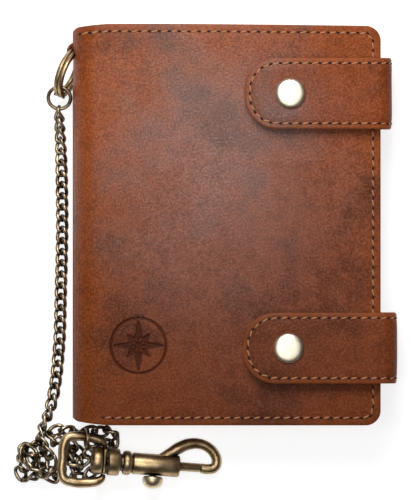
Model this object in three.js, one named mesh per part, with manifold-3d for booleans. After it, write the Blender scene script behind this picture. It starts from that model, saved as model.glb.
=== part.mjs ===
// Chain wallet: a leather wallet that opens like a book, held shut by two snap straps, with a curb chain
// and a swivel snap hook. Millimetres, +Z up. The wallet lies on its back cover on z = 0 with the spine
// on the -X side; +Y runs along the spine to the top edge. The origin is the middle of the back cover.
import * as THREE from 'three';
import { mergeVertices } from 'three/addons/utils/BufferGeometryUtils.js';
import Module from 'manifold-3d';

const wasm = await Module();
wasm.setup();

// ---------------------------------------------------------------- driving dimensions
const bodyTop = 62.5; // half of the wallet's height, along Y
const foreEdge = 48; // free edge of both covers, +X
const spineSeam = -40; // where the covers turn into the rounded spine
const spineBulge = 8; // how far the spine rounds out beyond the seam
const thickness = 18; // closed wallet without straps
const coverLeather = 1.6;
const liningLeather = 0.8;
const pocketLeather = 0.7;
const gap = 0.3; // between pieces that touch on the real object
const cornerRadius = 4.7;

const strapWidth = 22;
const strapLeather = 1.1;
const strapLining = 0.7;
const strapUnder = thickness + 2.1; // underside of the strap above the snap stud
const strapWrapLeather = 1.8;
const straps = [
  { name: 'upper', y: 40.8, tip: 5.6, reach: 51.5, snap: 19.9 },
  { name: 'lower', y: -38.4, tip: 5.0, reach: 53.1, snap: 19.3 },
];
const snapCapRadius = 4.75;

const ringOuter = 8; // split ring
const ringInner = 6.3;
const ringHeight = 2.8;
const ringCentre = new THREE.Vector3(-49.3, 47.3, 8.1);
const ringLong = new THREE.Vector3(-0.38, -0.925, 0).normalize(); // level direction in the ring's plane
const ringTilt = THREE.MathUtils.degToRad(70); // the ring's plane against the floor

const chainTube = 3.0; // between the links' 4.2 mm width and their 2.3 mm thickness
const hookOrigin = new THREE.Vector3(-38.2, -73.9, 7.1); // middle of the swivel
const hookYaw = THREE.MathUtils.degToRad(-4.2);
const hookTilt = THREE.MathUtils.degToRad(8.5); // the nose leans down to the floor

// ---------------------------------------------------------------- materials
const paint = (color, roughness, metalness) =>
  new THREE.MeshStandardMaterial({ color, roughness, metalness });
const leather = paint('#8a4a2a', 0.55, 0);
const lining = paint('#6d3f28', 0.7, 0);
const brass = paint('#8f7a55', 0.35, 1);
const steel = paint('#8d8d8d', 0.4, 1);
const film = paint('#d8dde0', 0.15, 0);

// ---------------------------------------------------------------- solids
const part = new THREE.Group();

// A closed geometry as a solid with its faces turned outwards.
function solidFrom(geometry) {
  const bare = geometry.clone();
  bare.deleteAttribute('normal');
  bare.deleteAttribute('uv');
  const merged = mergeVertices(bare, 1e-4);
  const vertProperties = merged.attributes.position.array;
  const triVerts = new Uint32Array(merged.index.array);
  const solid = new wasm.Manifold(new wasm.Mesh({ numProp: 3, vertProperties, triVerts }));
  if (solid.volume() >= 0) return solid;
  for (let i = 0; i < triVerts.length; i += 3) {
    [triVerts[i], triVerts[i + 1]] = [triVerts[i + 1], triVerts[i]];
  }
  return new wasm.Manifold(new wasm.Mesh({ numProp: 3, vertProperties, triVerts }));
}

function geometryFrom(solid) {
  const mesh = solid.getMesh();
  const geometry = new THREE.BufferGeometry();
  geometry.setAttribute('position', new THREE.BufferAttribute(mesh.vertProperties, 3));
  geometry.setIndex(new THREE.BufferAttribute(mesh.triVerts, 1));
  return geometry;
}

// Adds a named piece made of one solid, less any cuts.
function piece(name, solid, material, group = part) {
  const mesh = new THREE.Mesh(geometryFrom(solid), material);
  mesh.name = name;
  group.add(mesh);
  return mesh;
}

const box = (x0, x1, y0, y1, z0, z1) =>
  solidFrom(
    new THREE.BoxGeometry(x1 - x0, y1 - y0, z1 - z0).translate((x0 + x1) / 2, (y0 + y1) / 2, (z0 + z1) / 2),
  );

// A rectangle whose two left and two right corners have their own radii, 0 for a sharp corner.
function roundedOutline(x0, x1, y0, y1, left, right) {
  const outline = new THREE.Shape();
  const corners = [
    [x1 - right, y0 + right, right],
    [x1 - right, y1 - right, right],
    [x0 + left, y1 - left, left],
    [x0 + left, y0 + left, left],
  ];
  outline.moveTo(x0 + left, y0);
  corners.forEach(([x, y, radius], i) => {
    const start = (i - 1) * (Math.PI / 2);
    if (radius > 0) outline.absarc(x, y, radius, start, start + Math.PI / 2);
    else outline.lineTo(x, y);
  });
  outline.closePath();
  return outline;
}

// A level sheet cut to an outline, from z0 to z1.
const sheet = (outline, z0, z1, curveSegments = 5) =>
  solidFrom(
    new THREE.ExtrudeGeometry(outline, { depth: z1 - z0, bevelEnabled: false, curveSegments }).translate(0, 0, z0),
  );

// An outline drawn in X and Z, drawn out along Y from y0 to y1.
function drawnAlongY(outline, y0, y1) {
  const geometry = new THREE.ExtrudeGeometry(outline, { depth: y1 - y0, bevelEnabled: false, curveSegments: 8 });
  return solidFrom(geometry.rotateX(Math.PI / 2).translate(0, y1, 0));
}

// A turned piece about an upright axis; profile holds [radius, height] pairs.
function turned(profile, segments, x = 0, y = 0) {
  const points = profile.map(([radius, height]) => new THREE.Vector2(radius, height));
  return solidFrom(new THREE.LatheGeometry(points, segments).rotateX(Math.PI / 2).translate(x, y, 0));
}

// A turned piece about the X axis; profile holds [radius, distance along X] pairs.
function turnedOnX(profile, segments) {
  const points = profile.map(([radius, along]) => new THREE.Vector2(radius, along));
  return solidFrom(new THREE.LatheGeometry(points, segments).rotateZ(-Math.PI / 2));
}

// A round wire bent along a smooth path.
function wire(points, radius, sides, steps, closed = false) {
  const section = new THREE.Shape();
  for (let i = 0; i < sides; i++) {
    const angle = (2 * Math.PI * i) / sides;
    const [x, y] = [radius * Math.cos(angle), radius * Math.sin(angle)];
    if (i === 0) section.moveTo(x, y);
    else section.lineTo(x, y);
  }
  section.closePath();
  const path = new THREE.CatmullRomCurve3(points.map((p) => new THREE.Vector3(...p)), closed, 'centripetal');
  return solidFrom(new THREE.ExtrudeGeometry(section, { steps, extrudePath: path, bevelEnabled: false }));
}

// A ring of round wire about the Z axis.
function wireRing(centreRadius, wireRadius, sides, segments) {
  const profile = [];
  for (let i = 0; i <= sides; i++) {
    const angle = (2 * Math.PI * (i % sides)) / sides;
    profile.push([centreRadius + wireRadius * Math.cos(angle), wireRadius * Math.sin(angle)]);
  }
  return turned(profile, segments);
}

// ---------------------------------------------------------------- outer leather
const coverOutline = (x0) => roundedOutline(x0, foreEdge, -bodyTop, bodyTop, 0, cornerRadius);
const snapHole = (radius, z0, z1) =>
  straps.map(({ snap, y }) => turned([[0, z0], [radius, z0], [radius, z1], [0, z1]], 20, snap, y));
const cutAll = (solid, cutters) => cutters.reduce((rest, cutter) => rest.subtract(cutter), solid);

piece('outer_back', sheet(coverOutline(spineSeam + gap), 0, coverLeather), leather);
const outerFront = sheet(coverOutline(spineSeam + gap), thickness - coverLeather, thickness);
const frontBody = new THREE.Group();
part.add(frontBody);
piece('outer_front', cutAll(outerFront, snapHole(1.5, thickness - 3, thickness + 1)), leather, frontBody);

// The spine is half an ellipse, open below where the ring tab comes out of the seam.
const spine = new THREE.Shape();
const halfThickness = thickness / 2;
spine.moveTo(spineSeam, thickness);
spine.absellipse(spineSeam, halfThickness, spineBulge, halfThickness, Math.PI / 2, 1.5 * Math.PI, false);
spine.lineTo(spineSeam, coverLeather);
spine.absellipse(
  spineSeam,
  halfThickness,
  spineBulge - coverLeather,
  halfThickness - coverLeather,
  1.5 * Math.PI,
  Math.PI / 2,
  true,
);
spine.closePath();
const tabNotch = box(-60, -42.5, 43.6, 57.3, -1, 13.2);
piece('spine_leather', drawnAlongY(spine, -bodyTop, bodyTop).subtract(tabNotch), leather);

// ---------------------------------------------------------------- inside, back half
const innerLeft = spineSeam + 1;
const innerRight = 44.5;
const innerTop = bodyTop - 1.2;
const innerSheet = (y1, z0, depth, left = innerLeft) =>
  sheet(roundedOutline(left, innerRight, -innerTop, y1, 0, 3), z0, z0 + depth);

let level = coverLeather + gap;
piece('back_lining', innerSheet(innerTop, level, liningLeather), lining);
level += liningLeather + gap;
piece('back_note_panel', innerSheet(innerTop - 6, level, liningLeather), lining);
level += liningLeather + gap;
const cardTiers = 3;
const cardStep = 12;
for (let tier = 1; tier <= cardTiers; tier++) {
  const y1 = innerTop - 12 - cardStep * tier;
  piece(`back_card_pocket_${tier}`, innerSheet(y1, level, pocketLeather), lining);
  level += pocketLeather + gap;
}

// ---------------------------------------------------------------- inside, window leaf
const leafBottom = halfThickness - 0.4;
const leafTop = halfThickness + 0.2;
const leafOutline = roundedOutline(innerLeft, innerRight - 2, -innerTop + 3, innerTop - 3, 0, 4);
const windowOutline = roundedOutline(-30, 34, -48, 48, 3, 3);
const windowHole = sheet(windowOutline, leafBottom - 1, leafTop + 1);
piece('leaf_frame', sheet(leafOutline, leafBottom, leafTop).subtract(windowHole), lining);
const filmOutline = roundedOutline(-30 + gap, 34 - gap, -48 + gap, 48 - gap, 3, 3);
piece('leaf_window', sheet(filmOutline, leafBottom + 0.1, leafTop - 0.1), film);

// ---------------------------------------------------------------- inside, front half
level = thickness - coverLeather - gap - liningLeather;
const frontLining = innerSheet(innerTop, level, liningLeather);
piece('front_lining', cutAll(frontLining, snapHole(4.4, level - 1, thickness)), lining, frontBody);
level -= gap + pocketLeather;
for (let tier = 1; tier <= 2; tier++) {
  const low = 2;
  const high = innerTop - 12 * tier;
  const outline = roundedOutline(innerLeft, innerRight, low, high, 0, 0);
  piece(`front_card_pocket_${tier}`, sheet(outline, level, level + pocketLeather), lining, frontBody);
  level -= gap + pocketLeather;
}
const coinTop = -2;
const coinDepth = 3;
const coinCeiling = thickness - coverLeather - 2 * gap - liningLeather;
const coinOutline = roundedOutline(innerLeft + 2, innerRight, -innerTop, coinTop, 0, 3);
const coinInside = roundedOutline(innerLeft + 3.2, innerRight - 1.2, -innerTop + 1.2, coinTop + 1, 0, 2);
const coinFloor = coinCeiling - coinDepth;
const coinSpace = sheet(coinInside, coinFloor - 1, coinCeiling + 1);
piece('coin_gusset', sheet(coinOutline, coinFloor, coinCeiling).subtract(coinSpace), lining, frontBody);
const coinPanelTop = coinFloor - gap;
piece('coin_panel', sheet(coinOutline, coinPanelTop - pocketLeather, coinPanelTop), lining, frontBody);
const coinFlapTop = coinPanelTop - pocketLeather - gap;
const coinFlapOutline = roundedOutline(innerLeft + 2, innerRight, -24, coinTop + 3, 6, 6);
piece('coin_flap', sheet(coinFlapOutline, coinFlapTop - 0.6, coinFlapTop), lining, frontBody);

// ---------------------------------------------------------------- straps and snaps
for (const { name, y, tip, reach, snap } of straps) {
  const [y0, y1] = [y - strapWidth / 2, y + strapWidth / 2];
  const rootBottom = coverLeather + gap;
  const wall = reach - strapWrapLeather;

  // The root: a tongue in the back cover's seam that turns up outside the fore edge.
  const root = new THREE.Shape();
  root.moveTo(innerRight + gap, rootBottom);
  root.lineTo(reach - 1.5, rootBottom);
  root.absarc(reach - 1.5, rootBottom + 1.5, 1.5, -Math.PI / 2, 0);
  root.lineTo(reach, strapUnder + strapLining);
  root.lineTo(wall, strapUnder + strapLining);
  root.lineTo(wall, rootBottom + strapWrapLeather);
  root.lineTo(innerRight + gap, rootBottom + strapWrapLeather);
  root.closePath();
  piece(`strap_root_${name}`, drawnAlongY(root, y0, y1), leather);

  const topBottom = strapUnder + strapLining + gap;
  const shank = turned([[0, thickness], [1.5, thickness], [1.5, 30], [0, 30]], 16, snap, y);
  const topOutline = roundedOutline(tip, reach, y0, y1, strapWidth / 2 - 0.5, 0);
  const liningOutline = roundedOutline(tip + 0.3, wall - gap, y0 + 0.2, y1 - 0.2, strapWidth / 2 - 0.7, 0);
  const top = sheet(topOutline, topBottom, topBottom + strapLeather, 10).subtract(shank);
  piece(`strap_top_${name}`, top, leather);
  piece(`strap_lining_${name}`, sheet(liningOutline, strapUnder, strapUnder + strapLining, 10).subtract(shank), lining);

  // Cap and its shank on the strap.
  const capSeat = topBottom + strapLeather + gap;
  const shankEnd = strapUnder - 0.1;
  const cap = [
    [0, shankEnd],
    [1.2, shankEnd],
    [1.2, capSeat],
    [snapCapRadius, capSeat],
    [snapCapRadius, capSeat + 0.5],
    [snapCapRadius - 1, capSeat + 1.05],
    [snapCapRadius - 3, capSeat + 1.35],
    [0, capSeat + 1.45],
  ];
  piece(`snap_cap_${name}`, turned(cap, 28, snap, y), brass);

  // Socket under the strap: a flat ring with a lip, clear of the stud inside it.
  const socketBottom = thickness + 0.95;
  const socketTop = strapUnder - gap;
  const socket = [
    [2.3, socketBottom],
    [4.6, socketBottom],
    [4.6, socketTop],
    [2.3, socketTop],
    [2.3, socketBottom],
  ];
  piece(`snap_socket_${name}`, turned(socket, 24, snap, y), steel);

  // Stud on the cover, with a shank through the leather.
  const stud = [
    [0, thickness - coverLeather - 0.2],
    [1.2, thickness - coverLeather - 0.2],
    [1.2, thickness + gap],
    [4.0, thickness + gap],
    [4.0, thickness + gap + 0.35],
    [1.6, thickness + gap + 0.35],
    [1.9, thickness + 1.3],
    [1.6, thickness + 1.6],
    [0, thickness + 1.6],
  ];
  piece(`snap_stud_${name}`, turned(stud, 20, snap, y), steel, frontBody);
  const plateTop = thickness - coverLeather - 0.5;
  const plate = [[0, plateTop - 0.5], [4.0, plateTop - 0.5], [4.0, plateTop], [0, plateTop]];
  piece(`snap_plate_${name}`, turned(plate, 20, snap, y), steel, frontBody);
}

// ---------------------------------------------------------------- split ring, tab and jump ring
const sideways = new THREE.Vector3(ringLong.y, -ringLong.x, 0);
const ringRise = sideways.clone().multiplyScalar(Math.cos(ringTilt));
ringRise.z = Math.sin(ringTilt);
const ringNormal = ringLong.clone().cross(ringRise);

// A group whose X, Y and Z axes are three given directions, at a given place.
function framed(x, y, z, at) {
  const group = new THREE.Group();
  group.setRotationFromMatrix(new THREE.Matrix4().makeBasis(x, y, z));
  group.position.copy(at);
  part.add(group);
  return group;
}

const ringFrame = framed(ringLong, ringRise, ringNormal, ringCentre);
const half = ringHeight / 2;
const groove = 0.25;
const ringProfile = [
  [ringInner, -half],
  [ringOuter, -half],
  [ringOuter, -groove],
  [ringOuter - groove, 0],
  [ringOuter, groove],
  [ringOuter, half],
  [ringInner, half],
  [ringInner, -half],
];
piece('split_ring', turned(ringProfile, 40), brass, ringFrame);

// The tab is a leather eye round the ring, with a tail that runs into the spine.
const tabEye = ringCentre.clone().addScaledVector(ringLong, -(ringOuter + ringInner) / 2);
const tabAlong = new THREE.Vector3(1, 0, 0).addScaledVector(ringRise, -ringRise.x).normalize();
const tabAcross = ringRise.clone().cross(tabAlong);
const tabFrame = framed(tabAlong, tabAcross, ringRise, tabEye);
const eyeOuter = 2.75;
const eyeInner = 2.15;
const tabHalfHeight = 2.2;
const tabTail = 5.4;
const disc = turned([[0, -tabHalfHeight], [eyeOuter, -tabHalfHeight], [eyeOuter, tabHalfHeight], [0, tabHalfHeight]], 20);
const eyeHole = turned([[0, -9], [eyeInner, -9], [eyeInner, 9], [0, 9]], 20);
const tail = box(eyeInner, tabTail, -0.9, 0.9, -tabHalfHeight, tabHalfHeight);
piece('ring_tab', disc.subtract(eyeHole).add(tail), leather, tabFrame);

// The jump ring passes through the split ring at its far end and leans down towards the floor.
const jumpRadius = 3.5;
const jumpWire = 0.6;
const jumpAlong = new THREE.Vector3(-0.12, -0.95, -0.27).normalize();
const jumpAcross = new THREE.Vector3(0, 0, 1).cross(jumpAlong).normalize();
const jumpNormal = jumpAlong.clone().cross(jumpAcross);
const jumpCentre = ringCentre
  .clone()
  .addScaledVector(ringLong, (ringOuter + ringInner) / 2)
  .addScaledVector(jumpAlong, 1.15);
const jumpFrame = framed(jumpAlong, jumpAcross, jumpNormal, jumpCentre);
piece('jump_ring', wireRing(jumpRadius, jumpWire, 8, 28), brass, jumpFrame);

// ---------------------------------------------------------------- chain
// The chain runs down beside the spine, then lies heaped under the hook's eye.
const chainRoute = [
  [-52.3, 34.6, 6.0],
  [-52.0, 29.0, 3.6],
  [-51.7, 22.0, 1.9],
  [-51.5, 12.0, 1.55],
  [-51.4, 2.0, 1.55],
  [-51.5, -8.0, 1.55],
  [-51.8, -20.0, 1.55],
  [-52.1, -33.0, 1.55],
  [-52.6, -41.0, 1.55],
  [-53.3, -48.0, 1.55],
  [-54.2, -53.5, 1.55],
  [-55.3, -58.0, 1.55],
  [-56.9, -61.6, 1.55],
];
piece('chain_run', wire(chainRoute, chainTube / 2, 8, 40), brass);

function polygon(points) {
  const outline = new THREE.Shape();
  points.forEach(([x, y], i) => (i === 0 ? outline.moveTo(x, y) : outline.lineTo(x, y)));
  outline.closePath();
  return outline;
}
const mound = polygon([
  [-61, -63.2],
  [-53.4, -63.2],
  [-53.4, -79],
  [-58, -80.6],
  [-63.5, -79.5],
  [-66, -75],
  [-65, -69.5],
]);
const underHook = polygon([
  [-54, -63.4],
  [-35, -63.4],
  [-33.4, -68],
  [-34, -78.6],
  [-45, -80],
  [-54, -79],
]);
const toe = polygon([
  [-36, -69.4],
  [-31.4, -69.6],
  [-30.6, -72],
  [-31.4, -75],
  [-36, -76],
]);
const heap = sheet(mound, 0.05, 6.6).add(sheet(underHook, 0.05, 2.1)).add(sheet(toe, 0.05, 1.5));
piece('chain_heap', heap, brass);

// ---------------------------------------------------------------- swivel snap hook
// Its own X axis runs from the eye to the nose, its Y axis towards the hook's back.
const hook = new THREE.Group();
hook.position.copy(hookOrigin);
hook.rotation.set(0, hookTilt, hookYaw, 'ZYX');
part.add(hook);

const collarRadius = 4.3;
const rivetRadius = 1.2;
const eyeWire = 1.5;
const eyeHalf = [
  [0.3, 5.7, 0],
  [-2.8, 6.6, 0],
  [-6, 7.15, 0],
  [-9.6, 7.2, 0],
  [-12.2, 6.4, 0],
  [-13.1, 4.2, 0],
];
const eyePath = [...eyeHalf, [-13.1, 0, 0], ...eyeHalf.map(([x, y, z]) => [x, -y, z]).reverse()];
const plateHalf = 0.6;
const eyePlate = box(-plateHalf, plateHalf, -5.3, 5.3, -2.4, 2.4);
const rivetHole = turnedOnX([[0, -2], [1.5, -2], [1.5, 2], [0, 2]], 16);
piece('hook_eye', wire(eyePath, eyeWire, 10, 44).add(eyePlate).subtract(rivetHole), brass, hook);

const rivet = [
  [0, -3.9],
  [collarRadius - 0.4, -3.9],
  [collarRadius, -3.5],
  [collarRadius, -0.9],
  [rivetRadius, -0.9],
  [rivetRadius, 4.4],
  [0, 4.4],
];
piece('swivel_rivet', turnedOnX(rivet, 24), brass, hook);

const boreRadius = 1.75;
const barrelRadius = 3.4;
const barrelEnd = 23.7;
const barrel = [
  [1.5, 0.9],
  [collarRadius, 0.9],
  [collarRadius, 4.8],
  [2.7, 5.0],
  [2.7, 5.8],
  [3.8, 6.1],
  [3.8, 8.2],
  [3.0, 8.5],
  [3.0, 8.9],
  [barrelRadius, 9.1],
  [barrelRadius, barrelEnd],
  [boreRadius, barrelEnd],
  [boreRadius, 7.0],
  [0, 7.0],
  [0, 4.7],
  [1.5, 4.7],
  [1.5, 0.9],
];
const hookPath = [
  [17.6, 2.3, 0],
  [21.2, 4.4, 0],
  [24.8, 6.7, 0],
  [28.8, 7.5, 0],
  [32.8, 6.4, 0],
  [35.4, 3.4, 0],
  [35.2, 0.9, 0],
  [33.6, -0.3, 0],
  [30.9, -0.1, 0],
];
const knobPlace = 15.7;
const boltTravel = 4.5;
const slotHalf = 1.3;
const slot = box(knobPlace - boltTravel - slotHalf, knobPlace + slotHalf, -6, 0, -slotHalf, slotHalf);
const boreCut = turnedOnX([[0, 7.0], [boreRadius, 7.0], [boreRadius, 29], [0, 29]], 16);
const bentHook = wire(hookPath, 1.5, 10, 26).subtract(boreCut);
piece('hook_body', turnedOnX(barrel, 24).add(bentHook).subtract(slot), brass, hook);

// The bolt slides back into the barrel against its spring; the knob is screwed into it.
const boltRadius = 1.4;
const bolt = turnedOnX([[0, 14.2], [boltRadius, 14.2], [boltRadius, 30.3], [0, 30.3]], 16);
const knobSeat = box(knobPlace - 1.25, knobPlace + 1.25, -2, -0.4, -1.25, 1.25);
piece('hook_bolt', bolt.subtract(knobSeat), brass, hook);
const knob = [
  [0, 0.7],
  [0.95, 0.7],
  [0.95, 3.9],
  [2.4, 4.0],
  [2.8, 4.7],
  [2.8, 5.5],
  [2.2, 6.3],
  [1.0, 6.7],
  [0, 6.75],
];
const knobPoints = knob.map(([radius, height]) => new THREE.Vector2(radius, height));
const knobGeometry = new THREE.LatheGeometry(knobPoints, 20).rotateX(Math.PI).translate(knobPlace, 0, 0);
piece('thumb_knob', solidFrom(knobGeometry), brass, hook);
const springSleeve = [[1.0, 7.3], [1.45, 7.3], [1.45, 13.9], [1.0, 13.9], [1.0, 7.3]];
piece('bolt_spring', turnedOnX(springSleeve, 14), steel, hook);

// The chain's last link, threaded on the upper arm of the eye.
const endLink = wireRing(2.55, 0.55, 8, 20).transform(
  new THREE.Matrix4().makeRotationY(Math.PI / 2).setPosition(-6, 6.8, 0).toArray(),
);
piece('chain_end_link', endLink, brass, hook);

export default part;
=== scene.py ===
# Chain wallet: oiled leather wallet with two snap straps, a curb chain and a swivel snap hook.
import math

import bmesh
import bpy
from mathutils import Matrix, Vector, noise


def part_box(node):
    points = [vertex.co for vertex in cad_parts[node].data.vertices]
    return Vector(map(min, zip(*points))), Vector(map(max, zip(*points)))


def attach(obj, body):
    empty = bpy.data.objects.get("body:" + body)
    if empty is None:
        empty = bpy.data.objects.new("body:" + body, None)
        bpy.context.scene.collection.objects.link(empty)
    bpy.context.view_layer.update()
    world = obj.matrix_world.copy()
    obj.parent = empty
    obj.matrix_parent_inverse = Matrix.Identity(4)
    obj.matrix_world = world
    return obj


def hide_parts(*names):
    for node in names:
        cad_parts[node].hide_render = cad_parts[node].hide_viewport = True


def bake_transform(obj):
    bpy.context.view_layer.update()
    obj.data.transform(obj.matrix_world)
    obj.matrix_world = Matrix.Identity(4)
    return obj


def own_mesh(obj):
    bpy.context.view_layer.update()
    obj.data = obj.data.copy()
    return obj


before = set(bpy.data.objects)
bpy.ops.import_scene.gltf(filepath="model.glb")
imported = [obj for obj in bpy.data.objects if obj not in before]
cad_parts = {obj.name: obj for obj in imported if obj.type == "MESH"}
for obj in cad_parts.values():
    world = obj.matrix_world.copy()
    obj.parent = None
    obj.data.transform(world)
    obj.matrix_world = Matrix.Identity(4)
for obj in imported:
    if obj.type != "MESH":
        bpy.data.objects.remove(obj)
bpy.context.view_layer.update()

MM = 0.001

# ---- Camera: straight above the wallet as it lies on its back cover, for an upright picture.
picture_height = 155.6 * MM
picture_middle = Vector((-6.2, -7.9)) * MM
camera_distance = 2.6
cover_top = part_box("outer_front")[1][2]
camera_data = bpy.data.cameras.new("camera")
camera_data.sensor_width = 36
camera_data.lens = camera_data.sensor_width * camera_distance / picture_height
camera_data.clip_end = 5
camera = bpy.data.objects.new("camera", camera_data)
camera.location = (*picture_middle, cover_top + camera_distance)
bpy.context.collection.objects.link(camera)
bpy.context.scene.camera = camera


# ---- Antique brass: brass plate, blackened and then rubbed back, so recesses stay near black and the
# high spots show warm yellow metal. Its darker flanks, and its darkening near other parts and the floor, are
# painted shade. Used on the chain, rings and hook.
def linear(hex_color):
    """An sRGB hex colour as linear red, green, blue and alpha."""
    values = [int(hex_color[i:i + 2], 16) / 255 for i in (1, 3, 5)]
    return [v / 12.92 if v <= 0.04045 else ((v + 0.055) / 1.055) ** 2.4 for v in values] + [1.0]


def add(tree, kind, inputs=None, **settings):
    """Adds a node; an input that is a socket is linked, and any other value is set."""
    made = tree.nodes.new("ShaderNode" + kind)
    for key, value in settings.items():
        setattr(made, key, value)
    for key, value in (inputs or {}).items():
        if isinstance(value, bpy.types.NodeSocket):
            tree.links.new(value, made.inputs[key])
        else:
            made.inputs[key].default_value = value
    return made


def material(name, **shader):
    """A new Principled material with its plain values set, as (material, tree, shader node)."""
    made = bpy.data.materials.new(name)
    made.use_nodes = True
    principled = made.node_tree.nodes["Principled BSDF"]
    for key, value in shader.items():
        principled.inputs[key.replace("_", " ")].default_value = value
    return made, made.node_tree, principled


def mix(tree, factor, first, second, blend="MIX"):
    """Two colours mixed by a factor; each may be a socket or a hex colour."""
    colors = [linear(c) if isinstance(c, str) else c for c in (first, second)]
    made = add(tree, "Mix", {0: factor, 6: colors[0], 7: colors[1]}, data_type="RGBA", blend_type=blend)
    return made.outputs[2]


def remap(tree, value, low, high, to_low=0.0, to_high=1.0):
    """A value taken from one range to another, held at the ends."""
    inputs = {"Value": value, "From Min": low, "From Max": high, "To Min": to_low, "To Max": to_high}
    return add(tree, "MapRange", inputs).outputs[0]


def antique_brass(name, bright, dull, black_and_shade, shadow_reach, painted_flank_shade, smooth, matt):
    """Plated brass, darkened within shadow_reach metres of any surface (its black finish left in hollows, and
    painted shade near other parts and the floor) and on its flanks by a share (painted shade).
    """
    made, tree, shader = material(name, Metallic=1.0)
    coords = add(tree, "TexCoord").outputs["Object"]
    # Patina clouds about 3 mm wide, and rubbing marks about 0.4 mm wide.
    clouds = add(tree, "TexNoise", {"Vector": coords, "Scale": 330.0, "Detail": 4.0}).outputs["Fac"]
    rubbing = add(tree, "TexNoise", {"Vector": coords, "Scale": 2400.0, "Detail": 3.0}).outputs["Fac"]
    plate = mix(tree, remap(tree, clouds, 0.35, 0.65), dull, bright)
    plate = mix(tree, remap(tree, rubbing, 0.55, 0.75, 0.0, 0.3), plate, black_and_shade)
    # Painted shade: the flanks are darkened towards the black finish by a share, and what faces up as it lies
    # stays bright, in place of the dark surround that the sides would reflect.
    facing = add(tree, "TexCoord").outputs["Normal"]
    facing_up = add(tree, "SeparateXYZ", {"Vector": facing}).outputs["Z"]
    plate = mix(tree, remap(tree, facing_up, 0.15, 0.8, painted_flank_shade, 0.0), plate, black_and_shade)
    # Darker within shadow_reach of any surface: the black finish kept in hollows, and painted shade where
    # links, other parts or the floor come close.
    open_air = add(tree, "AmbientOcclusion", {"Distance": shadow_reach}, samples=6).outputs["AO"]
    tree.links.new(mix(tree, remap(tree, open_air, 0.45, 1.0), black_and_shade, plate), shader.inputs["Base Color"])
    tree.links.new(remap(tree, rubbing, 0.3, 0.7, smooth, matt), shader.inputs["Roughness"])
    bump = add(tree, "Bump", {"Height": rubbing, "Strength": 0.12, "Distance": 0.0001})
    tree.links.new(bump.outputs[0], shader.inputs["Normal"])
    return made


chain_brass = antique_brass("antique_brass_chain", "#e0cbab", "#7d6548", "#060302", 1.7 * MM, 1.0, 0.24, 0.42)
hook_brass = antique_brass("antique_brass_hook", "#dfc297", "#a98a61", "#0e0804", 2.4 * MM, 0.42, 0.32, 0.5)


# ---- Curb chain: oval wire links, each twisted so that they lie flat in one another. It hangs from the
# jump ring, runs down beside the spine and lies heaped under the hook's eye; its end link is on the eye.
def finish_mesh(name, bm, look):
    """A bmesh as a smooth-shaded piece with one material; its place stays in its mesh."""
    data = bpy.data.meshes.new(name)
    bm.to_mesh(data)
    bm.free()
    for face in data.polygons:
        face.use_smooth = True
    data.materials.append(look)
    made = bpy.data.objects.new(name, data)
    bpy.context.collection.objects.link(made)
    return made


def wire_ring(center_radius, wire_radius, steps, sides):
    """A ring of round wire about the Z axis, as a bmesh."""
    bm = bmesh.new()
    section = Matrix.Translation((center_radius, 0, 0)) @ Matrix.Rotation(math.pi / 2, 4, "X")
    circle = bmesh.ops.create_circle(bm, segments=sides, radius=wire_radius, matrix=section)
    edges = list({edge for vert in circle["verts"] for edge in vert.link_edges})
    bmesh.ops.spin(bm, geom=circle["verts"] + edges, axis=(0, 0, 1), cent=(0, 0, 0), dvec=(0, 0, 0),
                   angle=2 * math.pi, steps=steps, use_merge=True)
    bmesh.ops.remove_doubles(bm, verts=bm.verts, dist=wire_radius * 0.01)
    bmesh.ops.recalc_face_normals(bm, faces=bm.faces)
    return bm


def smooth_route(points, step):
    """Points a fixed step apart along a smooth curve through the given points."""
    ends = [points[0] * 2 - points[1], *points, points[-1] * 2 - points[-2]]
    fine = []
    for before, start, stop, after in zip(ends, ends[1:], ends[2:], ends[3:]):
        for i in range(24):
            t = i / 24
            fine.append(0.5 * (2 * start + (stop - before) * t
                               + (2 * before - 5 * start + 4 * stop - after) * t * t
                               + (3 * start - before - 3 * stop + after) * t ** 3))
    fine.append(points[-1])
    route, carried = [fine[0]], 0.0
    for a, b in zip(fine, fine[1:]):
        length = (b - a).length
        while carried + length >= step:
            a = a.lerp(b, (step - carried) / length)
            length = (b - a).length
            carried = 0.0
            route.append(a.copy())
        carried += length
    return route


link_width = 4.2 * MM
link_wire = 1.27 * MM
link_pitch = 3.5 * MM
link_length = link_pitch + 2.05 * link_wire
link_weave = -0.75 * MM  # how far a link's strands rise and dip as they pass its neighbours

# The laid run, from the jump ring down beside the spine: the route of the CAD chain, in millimetres.
run_route = [
    (-52.3, 34.6, 6.0), (-52.0, 29.0, 3.6), (-51.7, 22.0, 1.9), (-51.5, 12.0, 1.55), (-51.4, 2.0, 1.55),
    (-51.5, -8.0, 1.55), (-51.8, -20.0, 1.55), (-52.1, -33.0, 1.55), (-52.6, -41.0, 1.55),
    (-53.3, -48.0, 1.55), (-54.2, -53.5, 1.55), (-55.3, -58.0, 1.55), (-56.9, -61.6, 1.55),
]
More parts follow.
